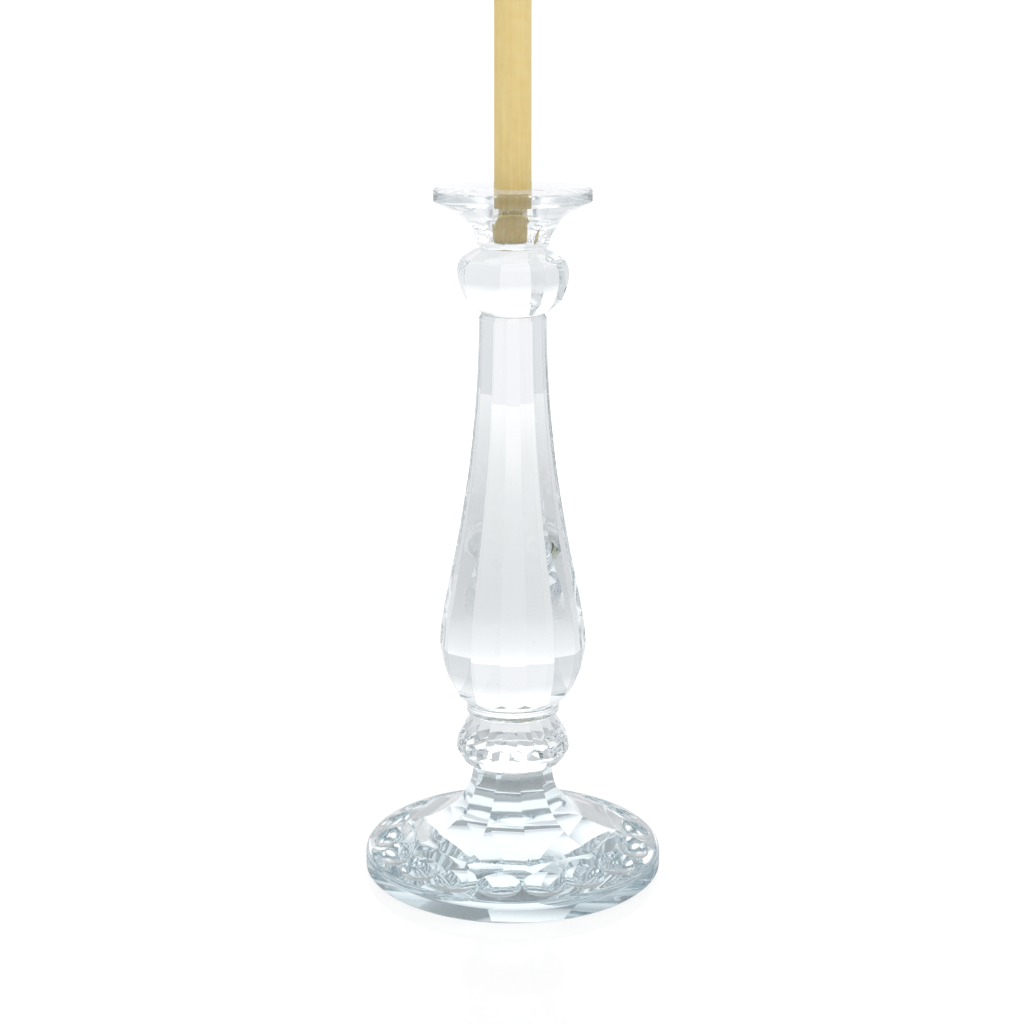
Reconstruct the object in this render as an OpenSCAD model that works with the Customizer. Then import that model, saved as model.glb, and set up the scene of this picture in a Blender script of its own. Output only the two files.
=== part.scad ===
// Glass candlestick: a heavy round foot, a diamond-cut knop, a panelled baluster stem,
// a panelled upper knop and a candle cup with a wide drip pan, bonded seat to seat.
// A dinner candle with a fluted end stands in the cup and lifts straight out.
// The axis is Z, and the origin is the centre of the foot's underside.

/* [Base] */
// Diameter of the foot at its upright edge
base_d = 184; // [150:1:226]
// Height of the base, from the table to the seat at the top of its neck
base_h = 67; // [55:0.5:84]
// Height of the foot's upright edge
edge_h = 8.5; // [4:0.5:10]
// Radius that rounds the upright edge into the sloping shoulder
edge_round = 5; // [3:0.5:7]
// Bevel ground round the underside
base_bevel = 0.8; // [0.4:0.1:2]
// Width of the sloping shoulder, measured level
shoulder_w = 26; // [22:0.5:30]
// Slope of the shoulder, in degrees
shoulder_slope = 21; // [16:1:28]
// Diameter of the neck over the corners of its panels, at the seat
neck_d = 49; // [42:0.5:58]
// Number of panels cut on the neck
neck_panels = 10; // [6:1:16]

/* [Thumbprints] */
// Number of thumbprint cuts round the shoulder
print_count = 18; // [12:1:24]
// Radius of the cutting wheel
print_wheel_r = 25; // [20:0.5:30]
// Radius of the rounded face across the wheel's rim
print_face_r = 14; // [11:0.5:16]
// Depth of each cut below the shoulder
print_depth = 4.2; // [2:0.1:5]
// Distance in from the foot's edge to the middle of a cut
print_inset = 14.5; // [12:0.5:17]

/* [Lower knop] */
// Height of the lower knop
knop_h = 33.2; // [27:0.1:40]
// Diameter over the corners of the widest row
knop_d = 69.6; // [64:0.2:84]
// Number of diamond cuts in each row
knop_cuts = 20; // [12:1:28]
// Height of the plain collar above the diamond cuts
collar_h = 9; // [7:0.5:11]

/* [Stem] */
// Height of the stem, seat to seat
stem_h = 246.4; // [204:0.2:296]
// Number of panels on the stem
stem_panels = 12; // [8:1:16]
// Diameter over the corners at the belly
belly_d = 89.4; // [78:0.2:108]
// Height of the belly above the stem's lower seat
belly_z = 43.5; // [38:0.5:52]
// Diameter over the corners at the top of the stem
stem_top_d = 40.4; // [38:0.2:50]
// Diameter of the plain ring at the foot of the stem, which the lower knop's collar matches
stem_foot_d = 57; // [52:0.5:68]
// Height of the bevel cut round the top of the stem
stem_bevel_h = 2.6; // [2:0.2:6]

/* [Upper knop] */
// Height of the upper knop
bulb_h = 38.8; // [32:0.2:47]
// Diameter over the corners at the widest part
bulb_d = 67.4; // [58:0.2:80]
// Number of panels on the upper knop
bulb_panels = 8; // [6:1:14]

/* [Candle cup] */
// Height of the cup and its drip pan
cup_h = 33.8; // [31:0.2:41]
// Diameter of the drip pan
pan_d = 93; // [78:1:112]
// Thickness of the drip pan at its rim
pan_rim_h = 7; // [5:0.5:9]
// Edge bevel of the drip pan's rim
pan_bevel = 0.8; // [0.4:0.1:1.5]
// Diameter of the cup over its panel corners, at the seat
cup_seat_d = 43; // [40:0.5:50]
// Number of panels cut under the pan
cup_panels = 8; // [6:1:14]
// Glass left under the candle
socket_floor = 3.8; // [3:0.2:6]

/* [Candle] */
// Diameter of the candle just above the pan
candle_d = 22; // [19:0.1:26.4]
// Diameter of the candle at its shoulder
candle_tip_d = 21.2; // [16:0.1:25]
// Length of the candle without its wick
candle_l = 250; // [208:1:300]
// Gap all round between the candle and the glass of the socket
candle_gap = 0.5; // [0.3:0.1:0.9]
// Number of flutes on the candle's end
flutes = 24; // [16:1:30]
// Depth of a flute
flute_depth = 0.7; // [0.3:0.1:1]
// Height of the cone at the candle's tip
tip_h = 9; // [6:0.5:14]
// Thickness of the braided wick
wick_d = 1.8; // [1.2:0.1:2.6]
// Length of wick standing out of the tip
wick_out = 9; // [5:0.5:14]

/* [Bonds] */
// Thickness of the clear adhesive between two glass seats
bond_t = 0.2; // [0.1:0.05:0.4]
// Distance that the adhesive stops short of the seat's edge
bond_inset = 0.8; // [0.4:0.1:1.5]

/* [Hidden] */
$fn = 96;

base_r = base_d / 2;
neck_r = neck_d / 2;
knop_r = knop_d / 2;
belly_r = belly_d / 2;
stem_top_r = stem_top_d / 2;
stem_foot_r = stem_foot_d / 2;
bulb_r = bulb_d / 2;
pan_r = pan_d / 2;
cup_seat_r = cup_seat_d / 2;
socket_r = candle_d / 2 + candle_gap;

// Seats, from the table upwards; a bond film lies on each
knop_z = base_h + bond_t;
stem_z = knop_z + knop_h + bond_t;
bulb_z = stem_z + stem_h + bond_t;
cup_z = bulb_z + bulb_h + bond_t;
glass_top = cup_z + cup_h;
socket_z = cup_z + socket_floor;
stem_seat_r = stem_top_r - 2;
bulb_top_r = cup_seat_r * cos(180 / cup_panels) - 0.4;

// Turn of each piece's panels about the axis, as it was bonded, from the front (-Y)
neck_turn = 10.6 - 90;
print_turn = -6 - 90;
knop_turn = -3.6 - 90;
stem_turn = -2 - 90;
bulb_turn = -12 - 90;

glass_clear = [0.86, 0.92, 0.94, 0.45];
glass_foot = [0.74, 0.82, 0.84, 0.5];
resin = [0.95, 0.96, 0.92, 0.5];
wax = [0.87, 0.79, 0.54];
cotton = [0.93, 0.90, 0.82];

// Point at t along the curve from a to d, pulled towards b and c
function curve_at(a, b, c, d, t) =
    pow(1 - t, 3) * a + 3 * pow(1 - t, 2) * t * b + 3 * (1 - t) * t * t * c + t * t * t * d;

// Evenly spaced [radius, height] points along that curve
function curve(a, b, c, d, steps) = [for (i = [0:steps]) curve_at(a, b, c, d, i / steps)];

// Corners of a regular ring of n points
function ring(n, r, z, turn) =
    [for (i = [0:n - 1]) [r * cos(turn + i * 360 / n), r * sin(turn + i * 360 / n), z]];

// Solid whose n panels run through a list of [corner radius, height] rings
module panelled(n, profile, turn) {
    rows = len(profile);
    points = [for (p = profile) each ring(n, p[0], p[1], turn)];
    sides = [for (k = [0:rows - 2], i = [0:n - 1])
        [k * n + i, (k + 1) * n + i, (k + 1) * n + (i + 1) % n, k * n + (i + 1) % n]];
    bottom = [for (i = [0:n - 1]) i];
    top = [for (i = [n - 1:-1:0]) (rows - 1) * n + i];
    polyhedron(points, concat(sides, [bottom, top]), convexity = 4);
}

// Solid whose rows of n corners each sit half a step round from the row below, as diamond cuts do
module diamond_cut(n, profile, turn) {
    rows = len(profile);
    points = [for (k = [0:rows - 1]) each ring(n, profile[k][0], profile[k][1], turn + k * 180 / n)];
    up = [for (k = [0:rows - 2], i = [0:n - 1]) [k * n + i, (k + 1) * n + i, k * n + (i + 1) % n]];
    down = [for (k = [0:rows - 2], i = [0:n - 1])
        [k * n + (i + 1) % n, (k + 1) * n + i, (k + 1) * n + (i + 1) % n]];
    bottom = [for (i = [0:n - 1]) i];
    top = [for (i = [n - 1:-1:0]) (rows - 1) * n + i];
    polyhedron(points, concat(up, down, [bottom, top]), convexity = 4);
}

module turned(profile) {
    rotate_extrude() polygon(profile);
}

// Foot: where the shoulder starts beside the rounded edge, and where it runs under the neck
round_r = base_r - edge_round + edge_round * sin(shoulder_slope);
round_z = edge_h + edge_round * cos(shoulder_slope);
shoulder_r = base_r - shoulder_w - edge_round;
shoulder_z = round_z + (round_r - shoulder_r) * tan(shoulder_slope);
print_r = base_r - print_inset;
print_z = round_z + (round_r - print_r) * tan(shoulder_slope);
print_reach = print_wheel_r - print_depth;

module foot_blank() {
    edge_arc = [for (i = [0:4]) let (a = i / 4 * (90 - shoulder_slope))
        [base_r - edge_round + edge_round * cos(a), edge_h + edge_round * sin(a)]];
    turned(concat([[0, 0], [base_r - base_bevel, 0], [base_r, base_bevel]], edge_arc,
        [[shoulder_r, shoulder_z], [0, shoulder_z]]));
}

// Wheel with a rounded rim, whose axis points down the slope that it cuts
module cutting_wheel() {
    rotate_extrude() intersection() {
        translate([print_wheel_r - print_face_r, 0]) circle(print_face_r);
        translate([0, -print_face_r]) square([print_wheel_r, 2 * print_face_r]);
    }
}

module base() {
    flare_r = (shoulder_r + 0.3) / cos(180 / neck_panels);
    flare = curve([flare_r, shoulder_z],
        [neck_r + 0.43 * (flare_r - neck_r), shoulder_z + 0.09 * (base_h - shoulder_z)],
        [neck_r - 1, base_h - 0.55 * (base_h - shoulder_z)], [neck_r, base_h], 12);
    color(glass_foot) union() {
        difference() {
            foot_blank();
            for (i = [0:print_count - 1])
                rotate([0, 0, print_turn + i * 360 / print_count])
                    translate([print_r + print_reach * sin(shoulder_slope), 0,
                        print_z + print_reach * cos(shoulder_slope)])
                        rotate([0, 90 + shoulder_slope, 0]) cutting_wheel();
        }
        panelled(neck_panels, concat([[flare_r + 5, shoulder_z - 3.2]], flare), neck_turn);
    }
}

module lower_knop() {
    cut_h = knop_h - collar_h;
    seat_r = neck_r * cos(180 / neck_panels) - 0.2;
    collar_r = stem_foot_r + 0.9;
    rows = [[seat_r + 0.6, 0], [knop_r - 4.4, 3.6], [knop_r, 0.44 * cut_h],
        [knop_r - 1, 0.74 * cut_h], [collar_r + 0.4, cut_h]];
    color(glass_clear) translate([0, 0, knop_z]) union() {
        diamond_cut(knop_cuts, rows, knop_turn);
        turned([[0, cut_h - 1], [collar_r - 1, cut_h - 1], [collar_r, cut_h], [stem_foot_r - 0.2, cut_h + 5],
            [stem_foot_r - 0.2, knop_h - 0.5], [stem_foot_r - 0.7, knop_h], [0, knop_h]]);
    }
}

module stem() {
    ring_h = 8;
    corner = 1 / cos(180 / stem_panels);
    top_z = stem_h - stem_bevel_h;
    ring_r = stem_foot_r + 3;
    lower = curve([ring_r, ring_h], [ring_r + 6.5, ring_h + 7.5], [belly_r - 1.2, belly_z - 15.5],
        [belly_r, belly_z], 8);
    upper = curve([belly_r, belly_z], [belly_r, belly_z + 28], [stem_top_r + 0.8, top_z - 110],
        [stem_top_r, top_z], 14);
    color(glass_clear) translate([0, 0, stem_z]) union() {
        panelled(stem_panels, concat([[ring_r - 3, ring_h - 4]], lower, [for (i = [1:14]) upper[i]],
            [[stem_seat_r * corner, stem_h]]), stem_turn);
        turned([[0, 0], [stem_foot_r - 0.5, 0], [stem_foot_r, 0.5], [stem_foot_r, 4],
            [ring_r * cos(180 / stem_panels), ring_h], [0, ring_h]]);
    }
}

module upper_knop() {
    wide_z = 0.61 * bulb_h;
    seat_r = stem_seat_r / cos(180 / bulb_panels);
    top_r = bulb_top_r / cos(180 / bulb_panels);
    waist = [bulb_r - 4.2, 0.22 * bulb_h];
    shoulder = [bulb_r - 4.7, bulb_h - 5.2];
    flare = curve([seat_r, 0], [seat_r + 4, 2.8], [waist[0] - 2.5, waist[1] - 1.6], waist, 4);
    below = curve(waist, [waist[0] + 2, waist[1] + 5.4], [bulb_r, wide_z - 5.6], [bulb_r, wide_z], 5);
    above = curve([bulb_r, wide_z], [bulb_r, wide_z + 4.6], [bulb_r - 1.1, shoulder[1] - 2.2], shoulder, 5);
    color(glass_clear) translate([0, 0, bulb_z])
        panelled(bulb_panels, concat(flare, [for (i = [1:5]) below[i]], [for (i = [1:5]) above[i]],
            [[top_r, bulb_h]]), bulb_turn);
}

module candle_cup() {
    pan_z = cup_h - pan_rim_h;
    panel_top_z = 0.52 * cup_h;
    corner = cos(180 / cup_panels);
    panels = curve([cup_seat_r, 0], [cup_seat_r + 0.1, 5], [cup_seat_r + 2.5, 0.35 * cup_h],
        [(cup_seat_r + 8.3) / corner, panel_top_z], 6);
    under = curve([cup_seat_r + 8.3, panel_top_z], [cup_seat_r + 12, panel_top_z + 3],
        [pan_r - 5.5, pan_z - 2.8], [pan_r, pan_z], 6);
    color(glass_clear) translate([0, 0, cup_z]) difference() {
        union() {
            panelled(cup_panels, panels, bulb_turn);
            turned(concat([[0, panel_top_z]], under, [[pan_r, cup_h - pan_bevel],
                [pan_r - pan_bevel, cup_h], [0, cup_h]]));
        }
        translate([0, 0, socket_floor]) cylinder(r = socket_r, h = cup_h);
    }
}

// Film of cured clear adhesive on the seat at height z
module bond(seat_r, z) {
    color(resin) translate([0, 0, z]) cylinder(r = seat_r - bond_inset, h = bond_t);
}

module bond_base_knop() bond(neck_r * cos(180 / neck_panels), base_h);
module bond_knop_stem() bond(stem_foot_r - 0.7, stem_z - bond_t);
module bond_stem_knop() bond(stem_seat_r, bulb_z - bond_t);
module bond_knop_cup() bond(bulb_top_r, cup_z - bond_t);

module candle() {
    fluted_h = glass_top - socket_z - 2;
    fluted_r = candle_d / 2 - 0.2;
    star = [for (i = [0:2 * flutes - 1])
        (fluted_r - flute_depth * (i % 2)) * [cos(i * 180 / flutes), sin(i * 180 / flutes)]];
    tip_r = candle_tip_d / 2;
    color(wax) translate([0, 0, socket_z]) difference() {
        union() {
            intersection() {
                linear_extrude(fluted_h) polygon(star);
                cylinder(r1 = fluted_r - 1.5, r2 = fluted_r + fluted_h - 1.5, h = fluted_h);
            }
            turned([[0, fluted_h], [candle_d / 2, fluted_h], [tip_r, candle_l - tip_h],
                [0.72 * tip_r, candle_l - 0.45 * tip_h], [wick_d / 2 + 1, candle_l], [0, candle_l]]);
        }
        translate([0, 0, -1]) cylinder(d = wick_d, h = candle_l + 2);
    }
}

module wick() {
    color(cotton) translate([0, 0, socket_z]) cylinder(d = wick_d, h = candle_l + wick_out);
}

base();
lower_knop();
stem();
upper_knop();
candle_cup();
bond_base_knop();
bond_knop_stem();
bond_stem_knop();
bond_knop_cup();
candle();
wick();
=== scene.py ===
# A tall cut-glass candlestick with a dinner candle in it, on a white studio table.
# Lengths in the maker's sizes are millimetres; mm() turns them to metres.
import math

import bmesh
import bpy
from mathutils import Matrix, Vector


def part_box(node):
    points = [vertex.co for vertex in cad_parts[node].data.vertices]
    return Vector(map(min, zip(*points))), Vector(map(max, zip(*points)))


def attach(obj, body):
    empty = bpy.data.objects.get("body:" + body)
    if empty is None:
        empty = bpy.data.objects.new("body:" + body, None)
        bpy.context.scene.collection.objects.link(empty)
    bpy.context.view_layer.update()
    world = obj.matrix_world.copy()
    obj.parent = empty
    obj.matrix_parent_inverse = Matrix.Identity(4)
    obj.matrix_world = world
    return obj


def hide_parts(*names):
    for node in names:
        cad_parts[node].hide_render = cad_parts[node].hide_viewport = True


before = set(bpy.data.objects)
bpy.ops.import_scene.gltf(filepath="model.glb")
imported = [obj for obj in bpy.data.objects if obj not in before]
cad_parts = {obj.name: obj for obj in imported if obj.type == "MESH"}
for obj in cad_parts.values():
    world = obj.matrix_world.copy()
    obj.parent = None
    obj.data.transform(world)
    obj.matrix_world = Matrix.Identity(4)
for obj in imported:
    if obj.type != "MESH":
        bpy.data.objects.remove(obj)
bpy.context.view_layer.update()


def mm(length):
    return length * 0.001


def srgb(code):
    """Linear colour for an sRGB hex code such as "C8D4DC"."""
    channels = [int(code[i:i + 2], 16) / 255 for i in (0, 2, 4)]
    linear = [c / 12.92 if c <= 0.04045 else ((c + 0.055) / 1.055) ** 2.4 for c in channels]
    return (*linear, 1.0)


def level(node, end):
    """Height in millimetres of a node's bottom (end 0) or top (end 1)."""
    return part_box(node)[end][2] * 1000


def half_width(node):
    low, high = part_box(node)
    return (high[0] - low[0]) * 500


# ---------------------------------------------------------------- sizes
FRONT = -90                 # turn angles are counted from the front, -Y
CUT_ANGLE = 14              # a bend sharper than this, in degrees, is a cut edge
POLISH = 0.25               # width that the polishing wheel takes off a cut edge
SPARE = 9                   # how far a blank stands outside its panels where they cut it all round

BASE_R = half_width("base")
BASE_H = level("base", 1)
NECK_R = 24.5
NECK_PANELS = 10
NECK_TURN = FRONT + 10.6
SHOULDER_SLOPE = math.radians(21)
SHOULDER_R = BASE_R - 31
EDGE_H = 8.5
EDGE_ROUND = 5
BASE_BEVEL = 0.8
PRINT_COUNT = 18
PRINT_TURN = FRONT - 6
PRINT_WHEEL_R = 25
PRINT_FACE_R = 14
PRINT_DEPTH = 4.2
PRINT_R = BASE_R - 14.5

KNOP_Z = level("lower_knop", 0)
KNOP_H = level("lower_knop", 1) - KNOP_Z
KNOP_CUTS = 20
KNOP_TURN = FRONT - 3.6
# for each row of cuts: half-steps round, distance from the axis and height of a cut's middle, and
# its tilt in degrees
KNOP_ROWS = ((0, 31.2, 21, 29.6), (0.5, 33.8, 14.2, 9), (0, 33.2, 7.2, -31))

STEM_Z = level("stem", 0)
STEM_H = level("stem", 1) - STEM_Z
STEM_PANELS = 12
STEM_TURN = FRONT - 2
STEM_FOOT_R = 28.5
STEM_RING_H = 3
STEM_RING_FLARE = 0.07
STEM_TOP_R = 20.2
STEM_BEVEL_H = 2.6
STEM_SEAT_R = STEM_TOP_R - 2
BELLY_R = 44.7
BELLY_Z = 43.5
SEED_COUNT = 11
SEED_R = 0.4

BULB_Z = level("upper_knop", 0)
BULB_H = level("upper_knop", 1) - BULB_Z
BULB_PANELS = 8
BULB_TURN = FRONT - 12
BULB_R = 33.7

CUP_Z = level("candle_cup", 0)
CUP_H = level("candle_cup", 1) - CUP_Z
CUP_PANELS = 8
CUP_SEAT_R = 21.5
PAN_R = half_width("candle_cup")
PAN_RIM_H = 7
SOCKET_R = 11.5
SOCKET_ROUND = 1.5

CANDLE_Z = level("candle", 0)
CANDLE_H = level("candle", 1) - CANDLE_Z
CANDLE_R = 11
CANDLE_END_R = CANDLE_R - 0.1
CANDLE_END_ROUND = 2.5
CANDLE_TIP_R = 10.6
CANDLE_TIP_H = 9
FLUTED_H = CUP_Z + CUP_H - 2 - CANDLE_Z
FLUTES = 24
FLUTE_DEPTH = 0.6
WICK_R = 0.9
WICK_BORE_R = WICK_R + 0.05
WICK_PITCH = 5
STRAND_R = 0.46
WINDING_R = 0.42

BOND_T = KNOP_Z - BASE_H
BOND_INSET = 0.8
NECK_SEAT_R = NECK_R * math.cos(math.pi / NECK_PANELS)
RING_SEAT_R = STEM_FOOT_R - 0.7
BULB_SEAT_R = CUP_SEAT_R * math.cos(math.pi / CUP_PANELS) - 0.4


# ---------------------------------------------------------------- camera
def place_camera():
    """A long lens half a metre above the table, tilted down so the foot shows as an ellipse."""
    aside, away, height, tilt = -0.5, 1200, 537.4, 14.54
    lens = bpy.data.cameras.new("camera")
    lens.lens = 72.24
    lens.sensor_width = 36
    camera = bpy.data.objects.new("camera", lens)
    bpy.context.collection.objects.link(camera)
    camera.location = (mm(aside), mm(-away), mm(height))
    camera.rotation_euler = (math.radians(90 - tilt), 0, 0)
    bpy.context.scene.camera = camera


# ---------------------------------------------------------------- node trees
def add(tree, kind, links=None, values=None, **settings):
    """Adds a node to a shader or geometry tree: settings are its own properties, values fill
    its inputs, and links join its inputs to other nodes' outputs. Inputs go by name or number."""
    node = tree.nodes.new(kind)
    for name, setting in settings.items():
        setattr(node, name, setting)
    for key, value in (values or {}).items():
        node.inputs[key].default_value = value
    for key, output in (links or {}).items():
        tree.links.new(output, node.inputs[key])
    return node


def new_tree(name, *sizes):
    """Geometry tree that takes a mesh and the named sizes, with its start and its end."""
    tree = bpy.data.node_groups.new(name, "GeometryNodeTree")
    tree.interface.new_socket("Geometry", in_out="INPUT", socket_type="NodeSocketGeometry")
    tree.interface.new_socket("Geometry", in_out="OUTPUT", socket_type="NodeSocketGeometry")
    tree.interface.new_socket("Material", in_out="INPUT", socket_type="NodeSocketMaterial")
    for size in sizes:
        tree.interface.new_socket(size, in_out="INPUT", socket_type="NodeSocketFloat")
    end = add(tree, "NodeGroupOutput").inputs["Geometry"]
    return tree, add(tree, "NodeGroupInput").outputs, end


def finish_tree(tree, start, end, geometry):
    """Every tree ends by making its copies real and giving them their material."""
    real = add(tree, "GeometryNodeRealizeInstances", {"Geometry": geometry})
    dressed = add(tree, "GeometryNodeSetMaterial",
                  {"Geometry": real.outputs["Geometry"], "Material": start["Material"]})
    tree.links.new(dressed.outputs["Geometry"], end)


def grow(name, mesh, tree, material, sizes):
    """Plain mesh that a geometry tree makes from a mesh, with its sizes set by name."""
    maker = bpy.data.objects.new(name, mesh)
    bpy.context.collection.objects.link(maker)
    step = maker.modifiers.new(name, "NODES")
    step.node_group = tree
    for item in tree.interface.items_tree:
        if item.in_out == "INPUT" and item.name in sizes:
            step[item.identifier] = sizes[item.name]
        elif item.in_out == "INPUT" and item.name == "Material":
            step[item.identifier] = material
    bpy.context.view_layer.update()
    seen = maker.evaluated_get(bpy.context.evaluated_depsgraph_get())
    made = bpy.data.meshes.new_from_object(seen)
    bpy.data.objects.remove(maker)
    made.name = name
    return made


# ---------------------------------------------------------------- materials
def new_material(name):
    material = bpy.data.materials.new(name)
    material.use_nodes = True
    tree = material.node_tree
    tree.nodes.clear()
    output = add(tree, "ShaderNodeOutputMaterial")
    place = add(tree, "ShaderNodeTexCoord").outputs["Object"]
    return material, tree, output, place


def glass_body(tree, output, tint, density):
    """The glass's own tint, which deepens with the length of glass that light crosses."""
    if density:
        body = add(tree, "ShaderNodeVolumeAbsorption", values={
            "Color": srgb(tint), "Density": density})
        tree.links.new(body.outputs["Volume"], output.inputs["Volume"])


def polished_glass(name, tint, density):
    """Lead-free crystal, ground flat on a wheel and polished: clear, with the faint waviness
    of a hand-held cut and a few dull patches where it has been wiped."""
    material, tree, output, place = new_material(name)
    wave = add(tree, "ShaderNodeTexNoise", {"Vector": place}, {"Scale": 45.0, "Detail": 1.0})
    bump = add(tree, "ShaderNodeBump", {"Height": wave.outputs["Fac"]},
               {"Strength": 0.03, "Distance": mm(0.4)})
    wipe = add(tree, "ShaderNodeTexNoise", {"Vector": place}, {"Scale": 60.0, "Detail": 4.0})
    rough = add(tree, "ShaderNodeMapRange", {"Value": wipe.outputs["Fac"]},
                {"From Min": 0.55, "From Max": 0.8, "To Min": 0.0, "To Max": 0.03})
    glass = add(tree, "ShaderNodeBsdfPrincipled",
                {"Normal": bump.outputs["Normal"], "Roughness": rough.outputs["Result"]},
                {"Base Color": srgb("FBFCFC"), "IOR": 1.52, "Transmission Weight": 1.0})
    tree.links.new(glass.outputs["BSDF"], output.inputs["Surface"])
    glass_body(tree, output, tint, density)
    return material


def bonded_seat(name, tint=None, density=0):
    """A ground seat wetted out by clear adhesive of the glass's own index: light goes straight
    through, so the joint vanishes except at its rim. The glass's side has the glass's tint."""
    material, tree, output, _ = new_material(name)
    clear = add(tree, "ShaderNodeBsdfTransparent", values={"Color": srgb("FCFDFC")})
    tree.links.new(clear.outputs["BSDF"], output.inputs["Surface"])
    glass_body(tree, output, tint, density)
    return material


def cured_adhesive():
    """Clear ultraviolet-cured acrylic adhesive: glossy, with a trace of yellow at the rim."""
    material, tree, output, place = new_material("cured_clear_acrylic_adhesive")
    beads = add(tree, "ShaderNodeTexNoise", {"Vector": place}, {"Scale": 900.0})
    bump = add(tree, "ShaderNodeBump", {"Height": beads.outputs["Fac"]},
               {"Strength": 0.3, "Distance": mm(0.05)})
    resin = add(tree, "ShaderNodeBsdfPrincipled", {"Normal": bump.outputs["Normal"]},
                {"Base Color": srgb("FAF8EC"), "IOR": 1.5, "Roughness": 0.08,
                 "Transmission Weight": 1.0})
    tree.links.new(resin.outputs["BSDF"], output.inputs["Surface"])
    return material


def drawn_wax():
    """Drawn paraffin wax, dyed straw yellow through: a soft satin skin with faint draw lines
    along it, small bloom mottles, and light that sinks in a few millimetres."""
    material, tree, output, place = new_material("drawn_dyed_paraffin_wax")
    along = add(tree, "ShaderNodeMapping", {"Vector": place}, {"Scale": (1.0, 1.0, 0.02)})
    draw = add(tree, "ShaderNodeTexNoise", {"Vector": along.outputs["Vector"]},
               {"Scale": 700.0, "Detail": 3.0})
    mottle = add(tree, "ShaderNodeTexNoise", {"Vector": place}, {"Scale": 160.0, "Detail": 5.0})
    both = add(tree, "ShaderNodeMix", {2: draw.outputs["Fac"], 3: mottle.outputs["Fac"]},
               {"Factor": 0.5})
    colour = add(tree, "ShaderNodeValToRGB", {"Fac": both.outputs[0]})
    colour.color_ramp.elements[0].position = 0.3
    colour.color_ramp.elements[0].color = srgb("E6CB82")
    colour.color_ramp.elements[1].position = 0.7
    colour.color_ramp.elements[1].color = srgb("EED89A")
    rough = add(tree, "ShaderNodeMapRange", {"Value": mottle.outputs["Fac"]},
                {"From Min": 0.3, "From Max": 0.7, "To Min": 0.36, "To Max": 0.5})
    bump = add(tree, "ShaderNodeBump", {"Height": draw.outputs["Fac"]},
               {"Strength": 0.12, "Distance": mm(0.08)})
    wax = add(tree, "ShaderNodeBsdfPrincipled",
              {"Base Color": colour.outputs["Color"], "Roughness": rough.outputs["Result"],
               "Normal": bump.outputs["Normal"]},
              {"IOR": 1.44, "Subsurface Weight": 0.35, "Subsurface Scale": mm(3),
               "Subsurface Radius": (1.0, 0.6, 0.25)})
    tree.links.new(wax.outputs["BSDF"], output.inputs["Surface"])
    return material


def braided_cotton():
    """Bleached cotton, braided and primed with wax: off-white, matt, with a fibrous grain."""
    material, tree, output, place = new_material("braided_primed_cotton")
    fibre = add(tree, "ShaderNodeTexNoise", {"Vector": place}, {"Scale": 4000.0, "Detail": 3.0})
    colour = add(tree, "ShaderNodeMix", {"Factor": fibre.outputs["Fac"]},
                 {6: srgb("E2DAC4"), 7: srgb("F6F1E4")}, data_type="RGBA")
    bump = add(tree, "ShaderNodeBump", {"Height": fibre.outputs["Fac"]},
               {"Strength": 0.6, "Distance": mm(0.1)})
    cotton = add(tree, "ShaderNodeBsdfPrincipled",
                 {"Base Color": colour.outputs[2], "Normal": bump.outputs["Normal"]},
                 {"Roughness": 0.85, "Sheen Weight": 0.2})
    tree.links.new(cotton.outputs["BSDF"], output.inputs["Surface"])
    return material


# tints, and how strongly a metre of the glass takes up light
FOOT_TINT = ("BCD4DC", 4.5)
CLEAR_TINT = ("D0D8DC", 3)
foot_glass = polished_glass("grey_crystal_cut_polished", *FOOT_TINT)
foot_seat = bonded_seat("grey_crystal_bonded_seat", *FOOT_TINT)
clear_glass = polished_glass("clear_crystal_cut_polished", *CLEAR_TINT)
clear_seat = bonded_seat("clear_crystal_bonded_seat", *CLEAR_TINT)
film_face = bonded_seat("cured_adhesive_bonded_face")
adhesive = cured_adhesive()
wax = drawn_wax()
cotton = braided_cotton()


# ---------------------------------------------------------------- shapes
def curve(a, b, c, d, steps):
    """Evenly spaced (radius, height) points from a to d, pulled towards b and c."""
    points = []
    for i in range(steps + 1):
        t = i / steps
        w = ((1 - t) ** 3, 3 * (1 - t) ** 2 * t, 3 * (1 - t) * t * t, t ** 3)
        points.append(tuple(sum(k * p[j] for k, p in zip(w, (a, b, c, d))) for j in (0, 1)))
    return points


def radius_on(profile, z):
    """Radius of a rising profile at height z."""
    if z <= profile[0][1]:
        return profile[0][0]
    for (r0, z0), (r1, z1) in zip(profile, profile[1:]):
        if z0 <= z <= z1 and z1 > z0:
            return r0 + (r1 - r0) * (z - z0) / (z1 - z0)
    return profile[-1][0]


def panel_columns(panels, turn, per_panel):
    """(angle, offset from the panel's middle) of each column of points, corners included."""
    step = math.radians(360 / panels)
    columns = []
    for panel in range(panels):
        for i in range(per_panel):
            offset = (i / per_panel - 0.5) * step
            columns.append((math.radians(turn) + (panel + 0.5) * step + offset, offset))
    return columns


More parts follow.
